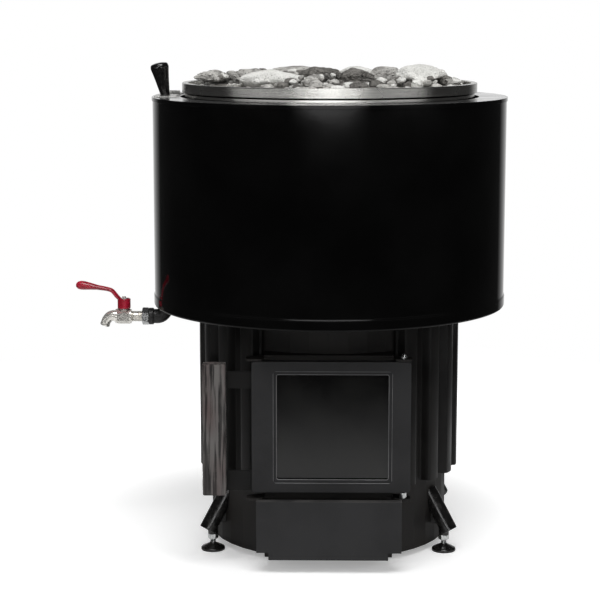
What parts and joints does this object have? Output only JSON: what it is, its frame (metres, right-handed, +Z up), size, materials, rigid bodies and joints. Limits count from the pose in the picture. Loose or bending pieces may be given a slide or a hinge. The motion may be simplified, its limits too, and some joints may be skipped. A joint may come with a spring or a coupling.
{
  "type": "sauna heater stove",
  "caption": "Wood-fired sauna stove with a round black water tank, tap with red lever, stone basin, fluted mantle, glass fire door with wooden handle and an ash box.",
  "frame": {"origin": "middle of the stove's footprint box on the floor; the stove's own axis stands 73.25 mm towards +X", "axes": "+Z up, -Y towards the fire door, +X to the hinge side of the door"},
  "size_m": [0.7894, 0.643, 0.8758],
  "materials": {
    "tank_enamel": "gloss",
    "stove_paint": "matte",
    "door_paint": "matte",
    "brushed_stainless": "brushed",
    "zinc_plate": "satin",
    "cast_iron": "matte",
    "black_iron": "satin",
    "nickel_plate": "polished",
    "stove_glass": "gloss",
    "seal_rope": "matte",
    "sawn_wood": "matte",
    "red_coating": "satin",
    "black_grip": "gloss",
    "sauna_stone": "matte"
  },
  "bodies": {
    "stove": {"tank_shell": "tank_enamel", "tank_top_plate": "tank_enamel", "tank_floor": "tank_enamel", "tank_inner_wall": "tank_enamel", "base_plate": "stove_paint", "firebox_shell": "stove_paint", "crown_plate": "stove_paint", "front_frame": "stove_paint", "mantle": "stove_paint", "grate_shelf": "stove_paint", "flue_spigot": "stove_paint", "stone_pan": "brushed_stainless", "stone_rim": "brushed_stainless", "lid_hinge_leaf": "brushed_stainless", "lid_hinge_pin": "zinc_plate", "hinge_pin_upper": "zinc_plate", "hinge_pin_lower": "zinc_plate", "catch_keeper": "zinc_plate", "ash_runner_left": "zinc_plate", "ash_runner_right": "zinc_plate", "tap_lock_nut": "zinc_plate", "fire_grate": "cast_iron", "smoke_baffle": "cast_iron", "tap_elbow": "black_iron", "leg_front_left": "black_iron", "leg_front_right": "black_iron", "leg_back_right": "black_iron", "leg_back_left": "black_iron", "tap_nipple": "nickel_plate", "tap_body": "nickel_plate", "door_seal": "seal_rope", "stone_bed": "sauna_stone", "top_stone_1": "sauna_stone", "top_stone_2": "sauna_stone", "top_stone_3": "sauna_stone", "top_stone_4": "sauna_stone", "top_stone_5": "sauna_stone", "top_stone_6": "sauna_stone", "top_stone_7": "sauna_stone", "top_stone_8": "sauna_stone", "top_stone_9": "sauna_stone"},
    "door": {"door_leaf": "door_paint", "door_glass": "stove_glass", "glass_gasket": "seal_rope", "glass_retainer": "stove_paint", "handle_bracket_upper": "black_iron", "handle_bracket_lower": "black_iron", "handle_plank": "sawn_wood", "catch_tongue": "zinc_plate"},
    "ash_box": {"ash_front": "door_paint", "ash_tray": "zinc_plate"},
    "tap_handle": {"tap_lever": "red_coating", "tap_stem": "nickel_plate", "tap_lever_nut": "zinc_plate"},
    "tank_lid": {"filler_lid": "brushed_stainless", "lid_grip": "black_grip"},
    "leveller_front_left": {"foot_front_left": "zinc_plate"},
    "leveller_front_right": {"foot_front_right": "zinc_plate"},
    "leveller_back_right": {"foot_back_right": "zinc_plate"},
    "leveller_back_left": {"foot_back_left": "zinc_plate"}
  },
  "joints": [
    {"name": "door_hinge", "type": "hinge", "parent": "stove", "child": "door", "pos_m": [0.20275, -0.241, 0.257], "axis": [0, 0, 1], "range_deg": [0, 110]},
    {"name": "ash_slide", "type": "slide", "parent": "stove", "child": "ash_box", "axis": [0, -1, 0], "range_m": [0, 0.26]},
    {"name": "tap_turn", "type": "hinge", "parent": "stove", "child": "tap_handle", "pos_m": [-0.30575, 0, 0.436], "axis": [0, 0, 1], "range_deg": [0, 90]},
    {"name": "lid_hinge", "type": "hinge", "parent": "stove", "child": "tank_lid", "pos_m": [-0.21801, 0.06297, 0.8187], "axis": [-0.9774, 0.2113, 0], "range_deg": [0, 100]},
    {"name": "foot_front_left_screw", "type": "slide", "parent": "stove", "child": "leveller_front_left", "axis": [0, 0, -1], "range_m": [0, 0.015]},
    {"name": "foot_front_right_screw", "type": "slide", "parent": "stove", "child": "leveller_front_right", "axis": [0, 0, -1], "range_m": [0, 0.015]},
    {"name": "foot_back_right_screw", "type": "slide", "parent": "stove", "child": "leveller_back_right", "axis": [0, 0, -1], "range_m": [0, 0.015]},
    {"name": "foot_back_left_screw", "type": "slide", "parent": "stove", "child": "leveller_back_left", "axis": [0, 0, -1], "range_m": [0, 0.015]}
  ]
}
